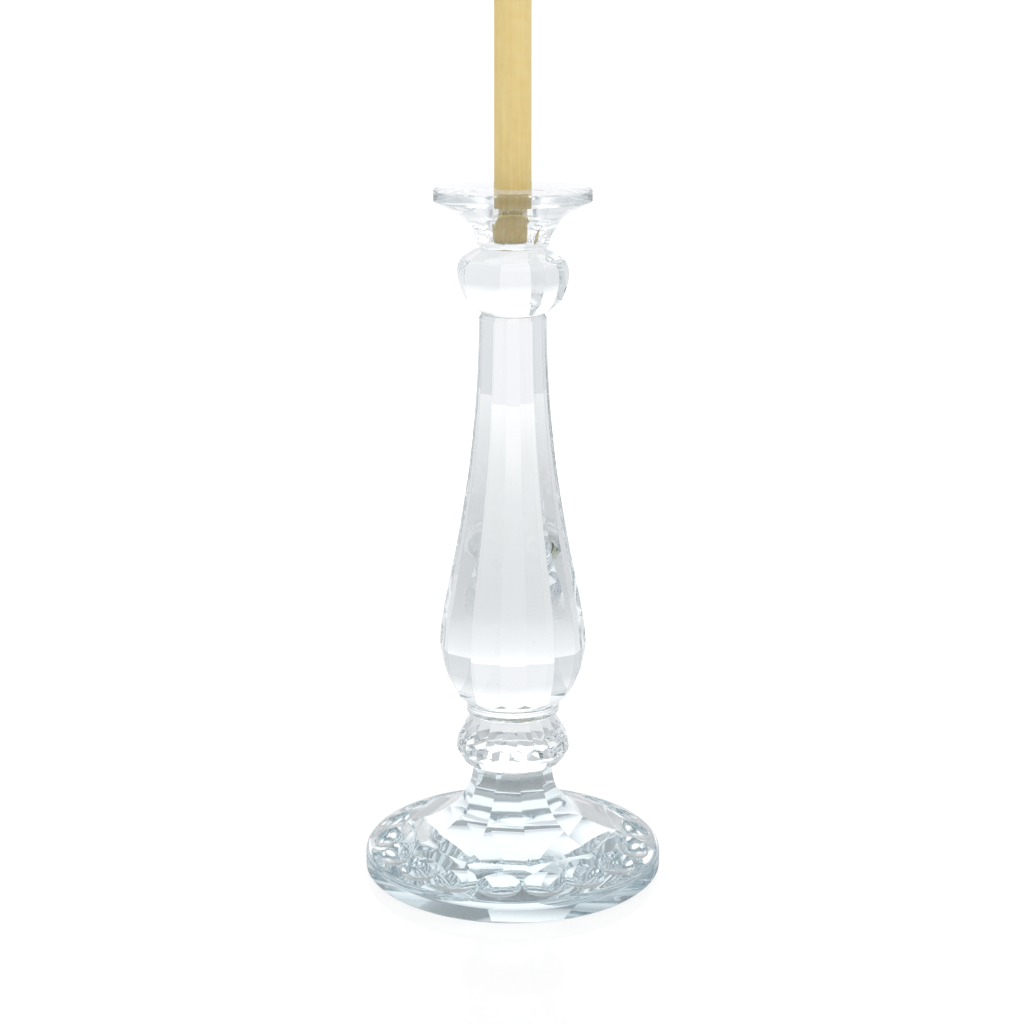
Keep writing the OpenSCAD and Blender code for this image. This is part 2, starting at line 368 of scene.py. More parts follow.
def skin(name, columns, outlines, z0, seats=(None, None), bore=False):
    """Closed mesh from one outline of (radius, height) points for each column, bottom to top.
    seats gives the radius of a bonded disc on the first and last ring, in material slot 1.
    With a bore the last ring joins the first, so the piece is a thick tube."""
    rows = len(outlines[0])
    count = len(columns)
    verts, faces, slots = [], [], []
    for (angle, _), outline in zip(columns, outlines):
        for r, z in outline:
            verts.append((mm(r) * math.cos(angle), mm(r) * math.sin(angle), mm(z0 + z)))
    for c in range(count):
        n = (c + 1) % count
        for k in range(rows if bore else rows - 1):
            up = (k + 1) % rows
            faces.append((c * rows + k, n * rows + k, n * rows + up, c * rows + up))
            slots.append(0)
    for end, seat_r in enumerate(() if bore else seats):
        row = 0 if end == 0 else rows - 1
        edge = [c * rows + row for c in range(count)]
        if seat_r is not None:
            inner = []
            for angle, _ in columns:
                inner.append(len(verts))
                verts.append((mm(seat_r) * math.cos(angle), mm(seat_r) * math.sin(angle),
                              verts[row][2]))
            for c in range(count):
                n = (c + 1) % count
                quad = (edge[n], edge[c], inner[c], inner[n])
                faces.append(quad if end == 0 else quad[::-1])
                slots.append(0)
            edge = inner
        faces.append(tuple(edge[::-1]) if end == 0 else tuple(edge))
        slots.append(0 if seat_r is None else 1)
    mesh = bpy.data.meshes.new(name)
    mesh.from_pydata(verts, [], faces)
    mesh.polygons.foreach_set("material_index", slots)
    mesh.update()
    return mesh


def cut_outline(blank, panel, offset, rows):
    """One column where a flat panel has been cut into a turned blank: so many rows of points
    below the cut, on it and above it, with a point on each of the cut's two edges."""
    z0, z1 = blank[0][1], blank[-1][1]
    lean = math.cos(offset)
    steps, halvings = 400, 30
    step = (z1 - z0) / steps

    def taken_off(z):
        return radius_on(blank, z) - radius_on(panel, z) / lean

    def edge(outside, inside):
        for _ in range(halvings):
            middle = (outside + inside) / 2
            if taken_off(middle) > 0:
                inside = middle
            else:
                outside = middle
        return (outside + inside) / 2

    cut = [z0 + step * i for i in range(steps + 1) if taken_off(z0 + step * i) > 0]
    low = edge(cut[0] - step, cut[0]) if cut[0] > z0 else z0
    high = edge(cut[-1] + step, cut[-1]) if cut[-1] < z1 else z1
    heights = []
    for a, b, count in zip((z0, low, high), (low, high, z1), rows):
        heights += [a + (b - a) * i / count for i in range(count)]
    return [(min(radius_on(blank, z), radius_on(panel, z) / lean), z) for z in heights + [z1]]


def new_piece(name, mesh, materials, sharp=CUT_ANGLE, polish=0):
    """Object with soft shading between its cuts; polish is the width in millimetres that the
    polishing wheel takes off each sharp edge."""
    piece = bpy.data.objects.new(name, mesh)
    bpy.context.collection.objects.link(piece)
    mesh.materials.clear()
    for material in materials:
        mesh.materials.append(material)
    mesh.shade_smooth()
    mesh.set_sharp_from_angle(angle=math.radians(sharp))
    if polish:
        step = piece.modifiers.new("polished_edges", "BEVEL")
        step.width = mm(polish)
        step.segments = 2
        step.limit_method = "ANGLE"
        step.angle_limit = math.radians(sharp)
        step.harden_normals = True
    return piece


# ---------------------------------------------------------------- foot
def wheel_tree():
    """The cutting wheel, a disc with a rounded rim, set at each place where it dips into the
    foot's shoulder, with its axis down the slope."""
    tree, start, end = new_tree("thumbprint_wheels", "Count", "First Turn", "Ring Radius",
                                "Height", "Slope", "Wheel Radius", "Face Radius")
    waist = add(tree, "ShaderNodeMath", {0: start["Wheel Radius"], 1: start["Face Radius"]},
                operation="SUBTRACT")
    ratio = add(tree, "ShaderNodeMath", {0: waist.outputs[0], 1: start["Face Radius"]},
                operation="DIVIDE")
    flip = add(tree, "ShaderNodeMath", {0: ratio.outputs[0]}, {1: -1.0}, operation="MULTIPLY")
    reach = add(tree, "ShaderNodeMath", {0: flip.outputs[0]}, operation="ARCCOSINE")
    low = add(tree, "ShaderNodeMath", {0: reach.outputs[0]}, {1: -1.0}, operation="MULTIPLY")
    sweep = add(tree, "ShaderNodeMath", {0: reach.outputs[0]}, {1: 2.0}, operation="MULTIPLY")
    face = add(tree, "GeometryNodeCurveArc",
               {"Radius": start["Face Radius"], "Start Angle": low.outputs[0],
                "Sweep Angle": sweep.outputs[0]}, {"Resolution": 41})
    rim = add(tree, "GeometryNodeCurvePrimitiveCircle", {"Radius": waist.outputs[0]},
              {"Resolution": 96})
    wheel = add(tree, "GeometryNodeCurveToMesh",
                {"Curve": rim.outputs["Curve"], "Profile Curve": face.outputs["Curve"]})
    shut = add(tree, "GeometryNodeMergeByDistance", {"Geometry": wheel.outputs["Mesh"]},
               {"Distance": mm(0.01)})
    count = add(tree, "GeometryNodeMeshCircle", {"Vertices": start["Count"],
                                                 "Radius": start["Ring Radius"]})
    turned = add(tree, "ShaderNodeCombineXYZ", {"Z": start["First Turn"]})
    raised = add(tree, "ShaderNodeCombineXYZ", {"Z": start["Height"]})
    ring = add(tree, "GeometryNodeTransform",
               {"Geometry": count.outputs["Mesh"], "Translation": raised.outputs["Vector"],
                "Rotation": turned.outputs["Vector"]})
    spot = add(tree, "ShaderNodeSeparateXYZ",
               {"Vector": add(tree, "GeometryNodeInputPosition").outputs["Position"]})
    turn = add(tree, "ShaderNodeMath", {0: spot.outputs["Y"], 1: spot.outputs["X"]},
               operation="ARCTAN2")
    tilt = add(tree, "ShaderNodeMath", {0: start["Slope"]}, {1: math.pi / 2}, operation="ADD")
    aim = add(tree, "ShaderNodeCombineXYZ", {"Y": tilt.outputs[0], "Z": turn.outputs[0]})
    wheels = add(tree, "GeometryNodeInstanceOnPoints",
                 {"Points": ring.outputs["Geometry"], "Instance": shut.outputs["Geometry"],
                  "Rotation": aim.outputs["Vector"]})
    finish_tree(tree, start, end, wheels.outputs["Instances"])
    return tree


def cut_thumbprints(foot, round_r, round_z):
    """Sinks the ring of wheels into the foot's shoulder; round_r and round_z are where the
    shoulder meets the rounded edge."""
    reach = PRINT_WHEEL_R - PRINT_DEPTH
    height = round_z + (round_r - PRINT_R) * math.tan(SHOULDER_SLOPE)
    sizes = {"Count": PRINT_COUNT, "First Turn": math.radians(PRINT_TURN),
             "Ring Radius": mm(PRINT_R + reach * math.sin(SHOULDER_SLOPE)),
             "Height": mm(height + reach * math.cos(SHOULDER_SLOPE)),
             "Slope": SHOULDER_SLOPE, "Wheel Radius": mm(PRINT_WHEEL_R),
             "Face Radius": mm(PRINT_FACE_R)}
    mesh = grow("wheels", bpy.data.meshes.new("start"), wheel_tree(), foot_glass, sizes)
    bm = bmesh.new()
    bm.from_mesh(mesh)
    bmesh.ops.recalc_face_normals(bm, faces=bm.faces)
    bm.to_mesh(mesh)
    bm.free()
    wheels = bpy.data.objects.new("wheels", mesh)
    bpy.context.collection.objects.link(wheels)
    cut = foot.modifiers.new("thumbprints", "BOOLEAN")
    cut.operation = "DIFFERENCE"
    cut.solver = "EXACT"
    cut.use_self = True
    cut.object = wheels
    bpy.context.view_layer.update()
    seen = foot.evaluated_get(bpy.context.evaluated_depsgraph_get())
    carved = bpy.data.meshes.new_from_object(seen)
    foot.modifiers.clear()
    foot.data = carved
    bpy.data.objects.remove(wheels)
    weld = mm(0.002)
    bm = bmesh.new()
    bm.from_mesh(carved)
    bmesh.ops.remove_doubles(bm, verts=bm.verts, dist=weld)
    bmesh.ops.dissolve_degenerate(bm, edges=bm.edges, dist=weld)
    bm.to_mesh(carved)
    bm.free()
    carved.shade_smooth()
    carved.set_sharp_from_angle(angle=math.radians(CUT_ANGLE))


def make_foot():
    """Round foot: an upright edge, a rounded arris, a sloping shoulder ringed with thumbprint
    cuts, and ten flat panels that flare from the neck down into the shoulder."""
    corner = math.cos(math.pi / NECK_PANELS)
    tan = math.tan(SHOULDER_SLOPE)
    round_r = BASE_R - EDGE_ROUND + EDGE_ROUND * math.sin(SHOULDER_SLOPE)
    round_z = EDGE_H + EDGE_ROUND * math.cos(SHOULDER_SLOPE)
    shoulder_z = round_z + (round_r - SHOULDER_R) * tan
    flare_r = (SHOULDER_R + 0.3) / corner
    flare = [(flare_r + 9, shoulder_z - 5.6), (flare_r + 5, shoulder_z - 3.2)]
    flare += curve((flare_r, shoulder_z),
                   (NECK_R + 0.43 * (flare_r - NECK_R), shoulder_z + 0.09 * (BASE_H - shoulder_z)),
                   (NECK_R - 1, BASE_H - 0.55 * (BASE_H - shoulder_z)), (NECK_R, BASE_H), 60)

    def shoulder(r):
        return round_z + (round_r - r) * tan

    edge = [(BASE_R - BASE_BEVEL, 0), (BASE_R, BASE_BEVEL), (BASE_R, EDGE_H)]
    for i in range(1, 11):
        a = i / 10 * (math.pi / 2 - SHOULDER_SLOPE)
        edge.append((BASE_R - EDGE_ROUND + EDGE_ROUND * math.cos(a),
                     EDGE_H + EDGE_ROUND * math.sin(a)))
    columns = panel_columns(NECK_PANELS, NECK_TURN, 36)
    outlines = []
    for _, offset in columns:
        flat = [(r * corner / math.cos(offset), z) for r, z in flare]
        first = next(i for i, (r, z) in enumerate(flat) if z > shoulder(r))
        (r0, z0), (r1, z1) = flat[first - 1], flat[first]
        t = (z0 - shoulder(r0)) / (z0 - shoulder(r0) - z1 + shoulder(r1))
        meet = (r0 + (r1 - r0) * t, z0 + (z1 - z0) * t)
        slope = []
        for i in range(1, 24):
            r = edge[-1][0] + (meet[0] - edge[-1][0]) * i / 24
            slope.append((r, shoulder(r)))
        rise = []
        for i in range(1, 61):
            z = meet[1] + (BASE_H - meet[1]) * (i / 60) ** 1.5
            rise.append((radius_on(flat, z), z))
        outlines.append(edge + slope + [meet] + rise)
    mesh = skin("foot", columns, outlines, 0, (None, NECK_SEAT_R - BOND_INSET))
    foot = new_piece("cut_foot", mesh, [foot_glass, foot_seat])
    cut_thumbprints(foot, round_r, round_z)
    return foot


# ---------------------------------------------------------------- knops, stem and cup
def make_lower_knop():
    """Turned knop with a plain collar, ground with three rows of flat diamond cuts."""
    seat_r = NECK_SEAT_R - 0.2
    blank = [(seat_r, 0), (seat_r + 0.6, 0.4), (31.5, 2.8), (36, 8), (36.5, 13)]
    blank += curve((36.5, 13), (36.3, 19), (31.5, 22.5), (28.6, KNOP_H - 5.5), 12)[1:]
    blank += [(RING_SEAT_R + 0.6, KNOP_H - 3), (RING_SEAT_R + 0.6, KNOP_H - 0.5),
              (RING_SEAT_R + 0.1, KNOP_H)]
    columns = panel_columns(KNOP_CUTS, KNOP_TURN, 8)
    mesh = skin("lower_knop", columns, [blank] * len(columns), KNOP_Z,
                (seat_r - BOND_INSET, RING_SEAT_R - BOND_INSET))
    bm = bmesh.new()
    bm.from_mesh(mesh)
    step = math.radians(360 / KNOP_CUTS)
    for shift, distance, height, tilt in KNOP_ROWS:
        lean = math.radians(tilt)
        for i in range(KNOP_CUTS):
            angle = math.radians(KNOP_TURN) + (i + shift) * step
            out = Vector((math.cos(angle), math.sin(angle), 0))
            cut = bmesh.ops.bisect_plane(
                bm, geom=bm.verts[:] + bm.edges[:] + bm.faces[:], dist=mm(0.0001),
                plane_co=out * mm(distance) + Vector((0, 0, mm(KNOP_Z + height))),
                plane_no=out * math.cos(lean) + Vector((0, 0, math.sin(lean))), clear_outer=True)
            rim = [e for e in cut["geom_cut"] if isinstance(e, bmesh.types.BMEdge)]
            bmesh.ops.holes_fill(bm, edges=rim, sides=0)
    bmesh.ops.remove_doubles(bm, verts=bm.verts, dist=mm(0.001))
    bmesh.ops.recalc_face_normals(bm, faces=bm.faces)
    bm.to_mesh(mesh)
    bm.free()
    return new_piece("cut_lower_knop", mesh, [clear_glass, clear_seat], sharp=8)


def seed_tree():
    """Seeds: the odd gas bubble a fraction of a millimetre wide, left in the glass from the
    pot. Each is a hole in the solid, so its faces point inwards."""
    tree, start, end = new_tree("seeds", "Count", "Radius", "Low", "High", "Size")
    line = add(tree, "GeometryNodeMeshLine", {"Count": start["Count"]})
    lot = add(tree, "FunctionNodeRandomValue", values={0: (-1, -1, 0), 1: (1, 1, 1), "Seed": 11},
              data_type="FLOAT_VECTOR")
    part = add(tree, "ShaderNodeSeparateXYZ", {"Vector": lot.outputs[0]})
    x = add(tree, "ShaderNodeMath", {0: part.outputs["X"], 1: start["Radius"]},
            operation="MULTIPLY")
    y = add(tree, "ShaderNodeMath", {0: part.outputs["Y"], 1: start["Radius"]},
            operation="MULTIPLY")
    z = add(tree, "ShaderNodeMapRange", {"Value": part.outputs["Z"], "To Min": start["Low"],
                                         "To Max": start["High"]})
    place = add(tree, "ShaderNodeCombineXYZ",
                {"X": x.outputs[0], "Y": y.outputs[0], "Z": z.outputs["Result"]})
    spread = add(tree, "GeometryNodeSetPosition", {"Geometry": line.outputs["Mesh"],
                                                   "Position": place.outputs["Vector"]})
    ball = add(tree, "GeometryNodeMeshIcoSphere", {"Radius": start["Size"]}, {"Subdivisions": 3})
    hole = add(tree, "GeometryNodeFlipFaces", {"Mesh": ball.outputs["Mesh"]})
    some = add(tree, "FunctionNodeRandomValue", values={2: 0.45, 3: 1.0, "Seed": 5})
    seeds = add(tree, "GeometryNodeInstanceOnPoints",
                {"Points": spread.outputs["Geometry"], "Instance": hole.outputs["Mesh"],
                 "Scale": some.outputs[1]})
    finish_tree(tree, start, end, seeds.outputs["Instances"])
    return tree


def make_stem():
    """Baluster cut in twelve long panels; they die out in arcs against the turned ring at its
    foot and are bevelled to the seat at its top."""
    corner = math.cos(math.pi / STEM_PANELS)
    top_z = STEM_H - STEM_BEVEL_H
    lower = curve((STEM_FOOT_R + 1.3, 5), (BELLY_R - 6.7, 14), (BELLY_R - 1.2, BELLY_Z - 16),
                  (BELLY_R, BELLY_Z), 24)
    upper = curve((BELLY_R, BELLY_Z), (BELLY_R, BELLY_Z + 28), (STEM_TOP_R + 0.8, top_z - 110),
                  (STEM_TOP_R, top_z), 60)
    panel = [(r * corner, z) for r, z in lower + upper[1:] + [(STEM_SEAT_R / corner, STEM_H)]]
    blank = [(STEM_FOOT_R - 0.5, 0), (STEM_FOOT_R, 0.5)]
    blank += [(STEM_FOOT_R + STEM_RING_FLARE * i * i, STEM_RING_H + i)
              for i in (n / 2 for n in range(30))]
    blank += [(BELLY_R + SPARE, 24), (BELLY_R + SPARE, STEM_H)]
    columns = panel_columns(STEM_PANELS, STEM_TURN, 12)
    outlines = [cut_outline(blank, panel, offset, (12, 90, 1)) for _, offset in columns]
    mesh = skin("stem", columns, outlines, STEM_Z,
                (RING_SEAT_R - BOND_INSET, STEM_SEAT_R - BOND_INSET))
    seeds = grow("seeds", bpy.data.meshes.new("start"), seed_tree(), clear_glass,
                 {"Count": SEED_COUNT, "Radius": mm(20), "Low": mm(STEM_Z + 20),
                  "High": mm(STEM_Z + 130), "Size": mm(SEED_R)})
    bm = bmesh.new()
    bm.from_mesh(mesh)
    bm.from_mesh(seeds)
    bm.to_mesh(mesh)
    bm.free()
    return new_piece("cut_stem", mesh, [clear_glass, clear_seat], polish=POLISH)


def make_upper_knop():
    """Squat knop cut in eight broad panels: a short flare, a barrel and a sloping top."""
    corner = math.cos(math.pi / BULB_PANELS)
    wide = (BULB_R, 0.61 * BULB_H)
    waist = (BULB_R - 4.2, 0.22 * BULB_H)
    shoulder = (BULB_R - 4.7, BULB_H - 5.2)
    seat_r = STEM_SEAT_R / corner
    outline = curve((seat_r, 0), (seat_r + 4, 2.8), (waist[0] - 2.5, waist[1] - 1.6), waist, 16)
    outline += curve(waist, (waist[0] + 2, waist[1] + 5.4), (BULB_R, wide[1] - 5.6), wide, 20)[1:]
    outline += curve(wide, (BULB_R, wide[1] + 4.6), (BULB_R - 1.1, shoulder[1] - 2.2),
                     shoulder, 20)[1:]
    panel = [(r * corner, z) for r, z in outline + [(BULB_SEAT_R / corner, BULB_H)]]
    blank = [(STEM_SEAT_R, 0), (STEM_SEAT_R + 0.6, 0.6), (BULB_R + SPARE, 7),
             (BULB_R + SPARE, BULB_H - 8), (BULB_SEAT_R + 0.6, BULB_H - 0.5),
             (BULB_SEAT_R, BULB_H)]
    columns = panel_columns(BULB_PANELS, BULB_TURN, 18)
    outlines = [cut_outline(blank, panel, offset, (6, 60, 6)) for _, offset in columns]
    mesh = skin("upper_knop", columns, outlines, BULB_Z,
                (STEM_SEAT_R - BOND_INSET, BULB_SEAT_R - BOND_INSET))
    return new_piece("cut_upper_knop", mesh, [clear_glass, clear_seat], polish=POLISH)


def make_cup():
    """Candle cup: eight panels that run out into the round underside of a wide drip pan, and
    a blind socket with a rounded bottom."""
    corner = math.cos(math.pi / CUP_PANELS)
    pan_z = CUP_H - PAN_RIM_H
    under = (CUP_SEAT_R + 8.3, 0.52 * CUP_H)
    panel = curve((CUP_SEAT_R, 0), (CUP_SEAT_R + 0.1, 5), (CUP_SEAT_R + 2.5, 0.35 * CUP_H),
                  (under[0] / corner, under[1]), 24)
    panel = [(r * corner, z) for r, z in panel]
    panel.append((panel[-1][0] + (pan_z - under[1]) * 3.2, pan_z))
    blank = [(BULB_SEAT_R + 0.2, 0), (CUP_SEAT_R, 0.8), (CUP_SEAT_R + 3, 6)]
    blank += curve((CUP_SEAT_R + 3, 6), (CUP_SEAT_R + 3.4, 10), (under[0] - 2, under[1] - 1.6),
                   under, 12)[1:]
    blank += curve(under, (CUP_SEAT_R + 12, under[1] + 3), (PAN_R - 5.5, pan_z - 2.8),
                   (PAN_R, pan_z), 20)[1:]
    floor = CANDLE_Z - CUP_Z
    rim = [(PAN_R, pan_z + 0.5), (PAN_R, CUP_H - 0.8), (PAN_R - 0.8, CUP_H),
           (SOCKET_R + 0.8, CUP_H), (SOCKET_R, CUP_H - 0.8), (SOCKET_R, (CUP_H + floor) / 2)]
    for i in range(9):
        a = i / 8 * math.pi / 2
        rim.append((SOCKET_R - SOCKET_ROUND * (1 - math.cos(a)),
                    floor + SOCKET_ROUND * (1 - math.sin(a))))
    columns = panel_columns(CUP_PANELS, BULB_TURN, 18)
    outlines = [cut_outline(blank, panel, offset, (8, 30, 8)) + rim for _, offset in columns]
    mesh = skin("cup", columns, outlines, CUP_Z, (BULB_SEAT_R - BOND_INSET, None))
    return new_piece("cut_candle_cup", mesh, [clear_glass, clear_seat], polish=POLISH)


def make_film(name, seat_r, z):
    """Film of cured adhesive between two seats: its flats vanish, its rim shows as a hair line.
    A gap keeps its flats off the glass, and its rim is bevelled."""
    columns = panel_columns(24, 0, 4)
    radius = seat_r - BOND_INSET
    gap, bevel = 0.01, 0.05
    flat_r = radius - bevel
    outline = [(flat_r, gap), (radius, gap + bevel), (radius, BOND_T - gap - bevel),
               (flat_r, BOND_T - gap)]
    mesh = skin(name, columns, [outline] * len(columns), z, (flat_r, flat_r))
    return new_piece(name, mesh, [adhesive, film_face], sharp=30)


# ---------------------------------------------------------------- candle
def flute_tree():
    """Presses flutes into the lower end of a turned candle: each point moves towards the axis
    by a share of the flute's depth that goes round as a wave and fades out at the top."""
    tree, start, end = new_tree("flutes", "Flutes", "Depth", "Top", "Fade", "Core")
    spot = add(tree, "GeometryNodeInputPosition").outputs["Position"]
    part = add(tree, "ShaderNodeSeparateXYZ", {"Vector": spot})
    turn = add(tree, "ShaderNodeMath", {0: part.outputs["Y"], 1: part.outputs["X"]},
               operation="ARCTAN2")
    many = add(tree, "ShaderNodeMath", {0: turn.outputs[0], 1: start["Flutes"]},
               operation="MULTIPLY")
    wave = add(tree, "ShaderNodeMath", {0: many.outputs[0]}, operation="COSINE")
    deep = add(tree, "ShaderNodeMapRange", {"Value": wave.outputs[0], "To Max": start["Depth"]},
               {"From Min": -1.0, "From Max": 1.0})
    begin = add(tree, "ShaderNodeMath", {0: start["Top"], 1: start["Fade"]}, operation="SUBTRACT")
    fade = add(tree, "ShaderNodeMapRange",
               {"Value": part.outputs["Z"], "From Min": begin.outputs[0],
                "From Max": start["Top"]}, {"To Min": 1.0, "To Max": 0.0},
               interpolation_type="SMOOTHSTEP")
    flat = add(tree, "ShaderNodeVectorMath", {0: spot}, {1: (1, 1, 0)}, operation="MULTIPLY")
    wide = add(tree, "ShaderNodeVectorMath", {0: flat.outputs[0]}, operation="LENGTH")
    skin_only = add(tree, "ShaderNodeMath", {0: wide.outputs["Value"], 1: start["Core"]},
                    operation="GREATER_THAN")
    share = add(tree, "ShaderNodeMath", {0: deep.outputs["Result"], 1: fade.outputs["Result"]},
                operation="MULTIPLY")
    move = add(tree, "ShaderNodeMath", {0: share.outputs[0], 1: skin_only.outputs[0]},
               operation="MULTIPLY")
    back = add(tree, "ShaderNodeMath", {0: move.outputs[0]}, {1: -1.0}, operation="MULTIPLY")
    out = add(tree, "ShaderNodeVectorMath", {0: flat.outputs[0]}, operation="NORMALIZE")
    shift = add(tree, "ShaderNodeVectorMath", {0: out.outputs[0], "Scale": back.outputs[0]},
                operation="SCALE")
    pressed = add(tree, "GeometryNodeSetPosition",
                  {"Geometry": start["Geometry"], "Offset": shift.outputs[0]})
    finish_tree(tree, start, end, pressed.outputs["Geometry"])
    return tree


def make_candle():
    """Drawn candle with a bore for its wick, a coned tip and a fluted end."""
    columns = panel_columns(FLUTES, 0, 8)
    outline = [(WICK_BORE_R, 0), (CANDLE_END_R - CANDLE_END_ROUND, 0)]
    for i in range(1, 9):
        a = i / 8 * math.pi / 2
        outline.append((CANDLE_END_R - CANDLE_END_ROUND * (1 - math.sin(a)),
                        CANDLE_END_ROUND * (1 - math.cos(a))))
    fluted = FLUTED_H - CANDLE_END_ROUND
    outline += [(CANDLE_END_R + (CANDLE_R - CANDLE_END_R) * i / 20,
                 CANDLE_END_ROUND + fluted * i / 20) for i in range(1, 21)]
    top = CANDLE_H - CANDLE_TIP_H
    straight = top - FLUTED_H
    outline += [(CANDLE_R + (CANDLE_TIP_R - CANDLE_R) * i / 12, FLUTED_H + straight * i / 12)
                for i in range(1, 13)]
    outline += curve((CANDLE_TIP_R, top), (CANDLE_TIP_R, top + 2.2), (8, top + 4.6),
                     (WICK_R + 1.2, CANDLE_H - 0.6), 14)[1:]
    outline += [(WICK_R + 0.6, CANDLE_H - 0.2), (WICK_BORE_R, CANDLE_H - 0.6)]
    blank = skin("candle", columns, [outline] * len(columns), CANDLE_Z, bore=True)
    mesh = grow("candle", blank, flute_tree(), wax,
                {"Flutes": FLUTES, "Depth": mm(FLUTE_DEPTH), "Top": mm(CANDLE_Z + FLUTED_H),
                 "Fade": mm(2.5), "Core": mm(4)})
    return new_piece("fluted_candle", mesh, [wax], sharp=40)


def braid_tree():
    """Three cotton strands that wind round each other up the wick's line."""
    tree, start, end = new_tree("braid", "Low", "High", "Pitch", "Winding Radius",
                                "Strand Radius")
    foot = add(tree, "ShaderNodeCombineXYZ", {"Z": start["Low"]})
    head = add(tree, "ShaderNodeCombineXYZ", {"Z": start["High"]})
    line = add(tree, "GeometryNodeCurvePrimitiveLine",
               {"Start": foot.outputs["Vector"], "End": head.outputs["Vector"]})
    fine = add(tree, "GeometryNodeResampleCurve", {"Curve": line.outputs["Curve"]},
               {"Count": 620})
    spot = add(tree, "GeometryNodeInputPosition").outputs["Position"]
    part = add(tree, "ShaderNodeSeparateXYZ", {"Vector": spot})
    turns = add(tree, "ShaderNodeMath", {0: part.outputs["Z"], 1: start["Pitch"]},
                operation="DIVIDE")
    round_yarn = add(tree, "GeometryNodeCurvePrimitiveCircle",
                     {"Radius": start["Strand Radius"]}, {"Resolution": 10})
    joined = add(tree, "GeometryNodeJoinGeometry")
    for strand in range(3):
        angle = add(tree, "ShaderNodeMath", {0: turns.outputs[0]},
                    {1: 2 * math.pi, 2: strand * 2 * math.pi / 3}, operation="MULTIPLY_ADD")
        x = add(tree, "ShaderNodeMath", {0: angle.outputs[0]}, operation="COSINE")
        y = add(tree, "ShaderNodeMath", {0: angle.outputs[0]}, operation="SINE")
        way = add(tree, "ShaderNodeCombineXYZ", {"X": x.outputs[0], "Y": y.outputs[0]})
        shift = add(tree, "ShaderNodeVectorMath",
                    {0: way.outputs["Vector"], "Scale": start["Winding Radius"]},
                    operation="SCALE")
        wound = add(tree, "GeometryNodeSetPosition",
                    {"Geometry": fine.outputs["Curve"], "Offset": shift.outputs[0]})
        yarn = add(tree, "GeometryNodeCurveToMesh",
                   {"Curve": wound.outputs["Geometry"],
                    "Profile Curve": round_yarn.outputs["Curve"]}, {"Fill Caps": True})
        tree.links.new(yarn.outputs["Mesh"], joined.inputs[0])
    finish_tree(tree, start, end, joined.outputs["Geometry"])
    return tree


def make_wick():
    mesh = grow("wick", bpy.data.meshes.new("start"), braid_tree(), cotton,
                {"Low": mm(level("wick", 0)), "High": mm(level("wick", 1)),
                 "Pitch": mm(WICK_PITCH), "Winding Radius": mm(WINDING_R),
                 "Strand Radius": mm(STRAND_R)})
    return new_piece("braided_wick", mesh, [cotton], sharp=60)


# ---------------------------------------------------------------- studio
TABLE_R = 1000
TABLE_GAP = 0.05            # between the table and the foot's underside
TABLE_GLOW = 0.78
TENT_GLOW = 1.6


def ramp(tree, value, stops):
    """Colour by position along a value from 0 to 1; stops are (position, sRGB hex) pairs."""
    node = add(tree, "ShaderNodeValToRGB", {"Fac": value})
    band = node.color_ramp
    while len(band.elements) < len(stops):
        band.elements.new(1)
    for element, (position, code) in zip(band.elements, stops):
        element.position = position
        element.color = srgb(code)
    return node.outputs["Color"]


def make_table():
    """White table that glows like a light table, with painted light brightest straight behind, so
    nothing on it casts a shadow: a painted shadow dims it only under the foot, and it mirrors the
    foot faintly."""
    mesh = bpy.data.meshes.new("table")
    bm = bmesh.new()
    bmesh.ops.create_circle(bm, cap_ends=True, segments=96, radius=mm(TABLE_R))
    bm.to_mesh(mesh)
    bm.free()
    table = bpy.data.objects.new("table", mesh)
    bpy.context.collection.objects.link(table)
    table.location.z = mm(-TABLE_GAP)
    material, tree, output, place = new_material("white_gloss_table_painted_light_and_shadow")
    part = add(tree, "ShaderNodeSeparateXYZ", {"Vector": place})
    side = add(tree, "ShaderNodeMath", {0: part.outputs["X"]}, operation="ABSOLUTE")
    back = add(tree, "ShaderNodeMath", {0: side.outputs["Value"], 2: part.outputs["Y"]},
               {1: -0.7}, operation="MULTIPLY_ADD")
    # painted light: the glow is dimmest to the sides and brightest straight behind
    painted_floor_light = ramp(tree, back.outputs["Value"], (
        (0.0, "CACDD0"), (0.12, "D8DADC"), (0.3, "E9EAEB"), (0.5, "ECEDEE"), (0.7, "FAFAFA")))
    far = add(tree, "ShaderNodeVectorMath", {0: place}, operation="LENGTH")
    # painted shadow: the glow is darker under the foot, within 85 mm of the middle, fading out by
    # 130 mm
    shade = ramp(tree, far.outputs["Value"], (
        (0.0, "D8D8D8"), (0.085, "D8D8D8"), (0.13, "FFFFFF")))
    glow = add(tree, "ShaderNodeMix", {6: painted_floor_light, 7: shade}, {"Factor": 1.0},
               data_type="RGBA", blend_type="MULTIPLY")
    # seen directly it is plain white; the glass gets the one with painted light and shadow
    seen = add(tree, "ShaderNodeLightPath").outputs["Is Camera Ray"]
    colour = add(tree, "ShaderNodeMix", {"Factor": seen, 6: glow.outputs[2]},
                 {7: srgb("FFFFFF")}, data_type="RGBA")
    top = add(tree, "ShaderNodeBsdfPrincipled", {"Emission Color": colour.outputs[2]},
              {"Base Color": srgb("707070"), "Roughness": 0.06, "IOR": 1.25,
               "Emission Strength": TABLE_GLOW})
    tree.links.new(top.outputs["BSDF"], output.inputs["Surface"])
    mesh.materials.append(material)


